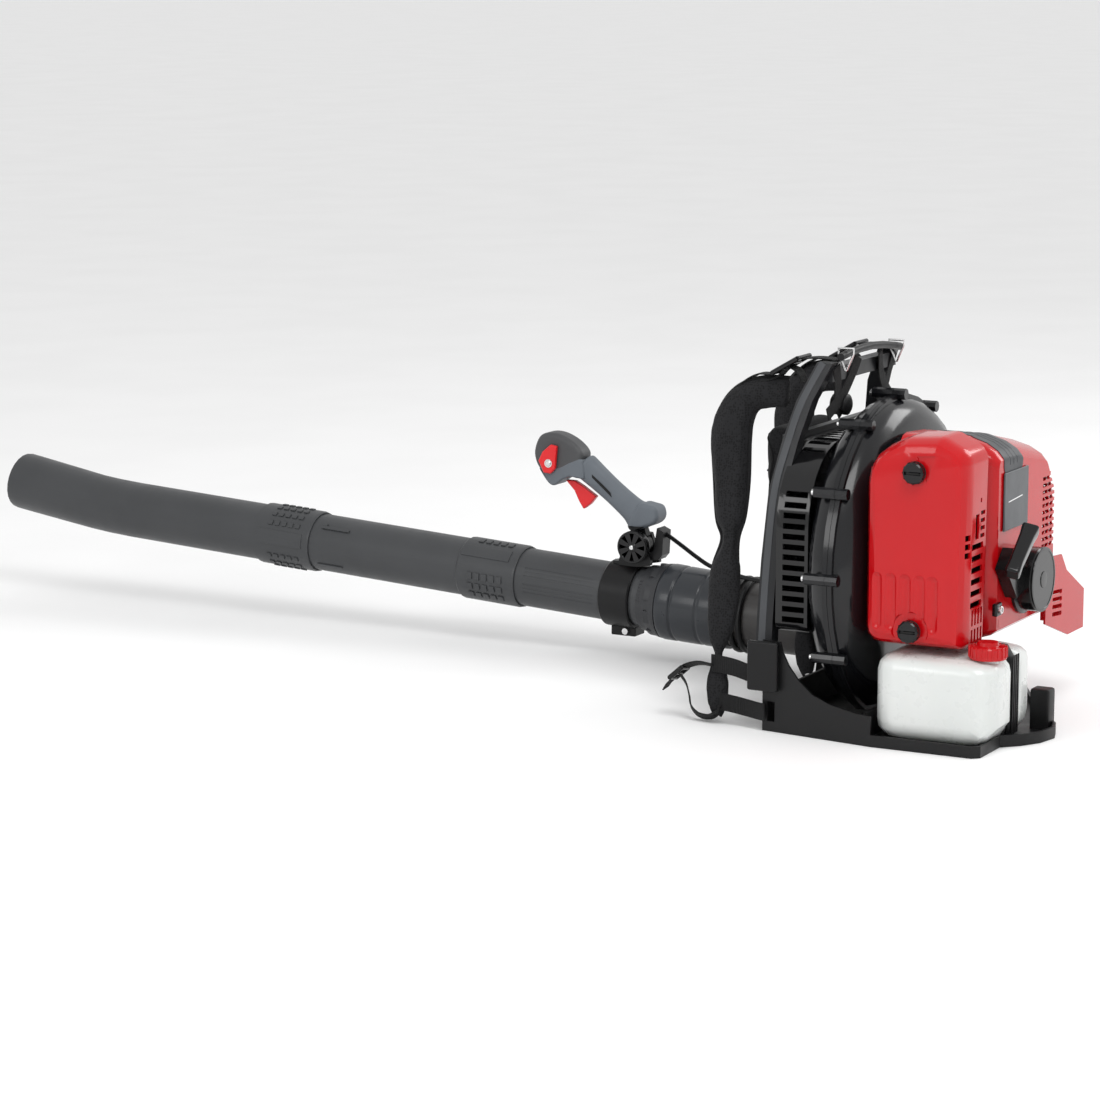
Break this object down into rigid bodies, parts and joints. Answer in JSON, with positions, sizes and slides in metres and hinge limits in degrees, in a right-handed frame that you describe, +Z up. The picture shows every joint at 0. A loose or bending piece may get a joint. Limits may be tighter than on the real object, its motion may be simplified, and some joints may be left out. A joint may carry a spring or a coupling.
{
  "type": "backpack leaf blower",
  "caption": "Engine-driven backpack leaf blower: fan scroll and covers on a tray frame with harness, bellows elbow, long tube and control handle.",
  "frame": {"origin": "on the floor under the base tray's flat bottom, on the machine's middle plane, below the crankshaft's middle", "axes": "+X to the operator's left, +Y to the rear (away from the operator's back), +Z up; the air tube runs forward along -Y"},
  "size_m": [0.482, 1.9199, 0.5247],
  "materials": {
    "frame_plastic": "satin",
    "scroll_plastic": "gloss",
    "red_plastic": "gloss",
    "tube_plastic": "satin",
    "grip_shell": "satin",
    "grip_rubber": "satin",
    "bellows_rubber": "semi-gloss",
    "black_plastic": "satin",
    "label_grey": "satin",
    "tank_plastic": "translucent",
    "pad_fabric": "woven",
    "webbing": "woven",
    "zinc_steel": "polished",
    "cast_aluminium": "cast",
    "muffler_steel": "satin",
    "filter_foam": "open foam",
    "clear_rubber": "translucent"
  },
  "bodies": {
    "machine": {"air_filter": "filter_foam", "back_frame": "frame_plastic", "back_pad": "pad_fabric", "back_panel": "frame_plastic", "base_tray": "frame_plastic", "bellows": "bellows_rubber", "carburettor": "cast_aluminium", "carry_bar": "black_plastic", "crankcase": "cast_aluminium", "cylinder": "cast_aluminium", "elbow": "tube_plastic", "elbow_clamp_front": "black_plastic", "elbow_clamp_rear": "black_plastic", "engine_shroud": "red_plastic", "filter_plate": "black_plastic", "fuel_tank": "tank_plastic", "hook_left": "zinc_steel", "hook_right": "zinc_steel", "intake_cage": "scroll_plastic", "isolator_left": "black_plastic", "isolator_right": "black_plastic", "isolator_top": "black_plastic", "label_plate": "label_grey", "lower_webbing_left": "webbing", "lower_webbing_right": "webbing", "muffler": "muffler_steel", "muffler_guard": "red_plastic", "scroll_front": "scroll_plastic", "scroll_rear": "scroll_plastic", "shoulder_strap_left": "pad_fabric", "shoulder_strap_right": "pad_fabric", "spark_plug": "zinc_steel", "starter_case": "black_plastic", "tank_band": "black_plastic", "throttle_cable": "black_plastic", "top_buckle_left": "black_plastic", "top_buckle_right": "black_plastic"},
    "rotor": {"crankshaft": "zinc_steel", "impeller": "black_plastic"},
    "piston": {"piston": "cast_aluminium"},
    "starter_reel": {"starter_reel": "black_plastic"},
    "starter_grip": {"starter_grip": "black_plastic"},
    "pipe": {"swivel_pipe": "tube_plastic", "handle_clamp": "black_plastic", "clamp_screw": "zinc_steel"},
    "mid_pipe": {"mid_pipe": "tube_plastic"},
    "nozzle": {"nozzle": "tube_plastic"},
    "grip": {"grip_shell": "grip_shell", "grip_sleeve": "grip_rubber"},
    "trigger": {"trigger": "red_plastic"},
    "stop_lever": {"stop_lever": "red_plastic"},
    "tilt_knob": {"tilt_knob": "black_plastic"},
    "fuel_cap": {"fuel_cap": "red_plastic"},
    "cleaner_cover": {"air_cleaner_cover": "red_plastic"},
    "knob_upper": {"cover_knob_upper": "black_plastic"},
    "knob_lower": {"cover_knob_lower": "black_plastic"},
    "choke_lever": {"choke_lever": "black_plastic"},
    "primer_bulb": {"primer_bulb": "clear_rubber"}
  },
  "joints": [
    {"name": "crank_spin", "type": "hinge", "parent": "machine", "child": "rotor", "pos_m": [0, 0, 0.214], "axis": [0, 1, 0], "continuous": true},
    {"name": "piston_stroke", "type": "slide", "parent": "machine", "child": "piston", "axis": [0, 0, 1], "range_m": [-0.033, 0.003]},
    {"name": "starter_pull", "type": "slide", "parent": "machine", "child": "starter_grip", "axis": [0.5881, 0.25, 0.7692], "range_m": [0, 0.3], "stiffness_N_per_m": 20},
    {"name": "starter_reel_spin", "type": "hinge", "parent": "machine", "child": "starter_reel", "pos_m": [0, 0.1245, 0.206], "axis": [0, 1, 0], "range_deg": [-5, 700]},
    {"name": "pipe_pitch", "type": "hinge", "parent": "machine", "child": "pipe", "pos_m": [-0.165, -0.47, 0.0854], "axis": [-1, 0, 0], "range_deg": [-5, 20], "deforming": ["bellows", "throttle_cable"]},
    {"name": "mid_twist", "type": "hinge", "parent": "pipe", "child": "mid_pipe", "pos_m": [-0.165, -0.78, 0.10584], "axis": [0, -0.9978, 0.0659], "range_deg": [-30, 30]},
    {"name": "nozzle_twist", "type": "hinge", "parent": "mid_pipe", "child": "nozzle", "pos_m": [-0.165, -1.15, 0.13026], "axis": [0, -0.9978, 0.0659], "range_deg": [-90, 90]},
    {"name": "handle_tilt", "type": "hinge", "parent": "pipe", "child": "grip", "pos_m": [-0.165, -0.56, 0.172], "axis": [1, 0, 0], "range_deg": [0, 30]},
    {"name": "tilt_knob_turn", "type": "hinge", "parent": "pipe", "child": "tilt_knob", "pos_m": [-0.165, -0.56, 0.172], "axis": [1, 0, 0], "continuous": true},
    {"name": "trigger_squeeze", "type": "hinge", "parent": "grip", "child": "trigger", "pos_m": [-0.165, -0.686, 0.258], "axis": [1, 0, 0], "range_deg": [0, 10], "stiffness_Nm_per_rad": 1.2},
    {"name": "stop_lever_turn", "type": "hinge", "parent": "grip", "child": "stop_lever", "pos_m": [-0.1464, -0.71, 0.29], "axis": [1, 0, 0], "range_deg": [-20, 20]},
    {"name": "fuel_cap_turn", "type": "hinge", "parent": "machine", "child": "fuel_cap", "pos_m": [0.181, 0.138, 0.1265], "axis": [0, 0, 1], "range_deg": [0, 270]},
    {"name": "cleaner_cover_off", "type": "slide", "parent": "machine", "child": "cleaner_cover", "axis": [1, 0, 0], "range_m": [0, 0.09]},
    {"name": "knob_upper_turn", "type": "hinge", "parent": "cleaner_cover", "child": "knob_upper", "pos_m": [0.188, 0.038, 0.376], "axis": [1, 0, 0], "range_deg": [0, 90]},
    {"name": "knob_lower_turn", "type": "hinge", "parent": "cleaner_cover", "child": "knob_lower", "pos_m": [0.188, 0.034, 0.158], "axis": [1, 0, 0], "range_deg": [0, 90]},
    {"name": "choke_turn", "type": "hinge", "parent": "machine", "child": "choke_lever", "pos_m": [0.1246, 0.088, 0.258], "axis": [1, 0, 0], "range_deg": [-15, 15]},
    {"name": "primer_push", "type": "slide", "parent": "machine", "child": "primer_bulb", "axis": [-1, 0, 0], "range_m": [0, 0.005], "stiffness_N_per_m": 800}
  ],
  "couplings": [
    {"joint": "starter_reel_spin", "follows": "starter_pull", "rad_per_m": 40}
  ]
}
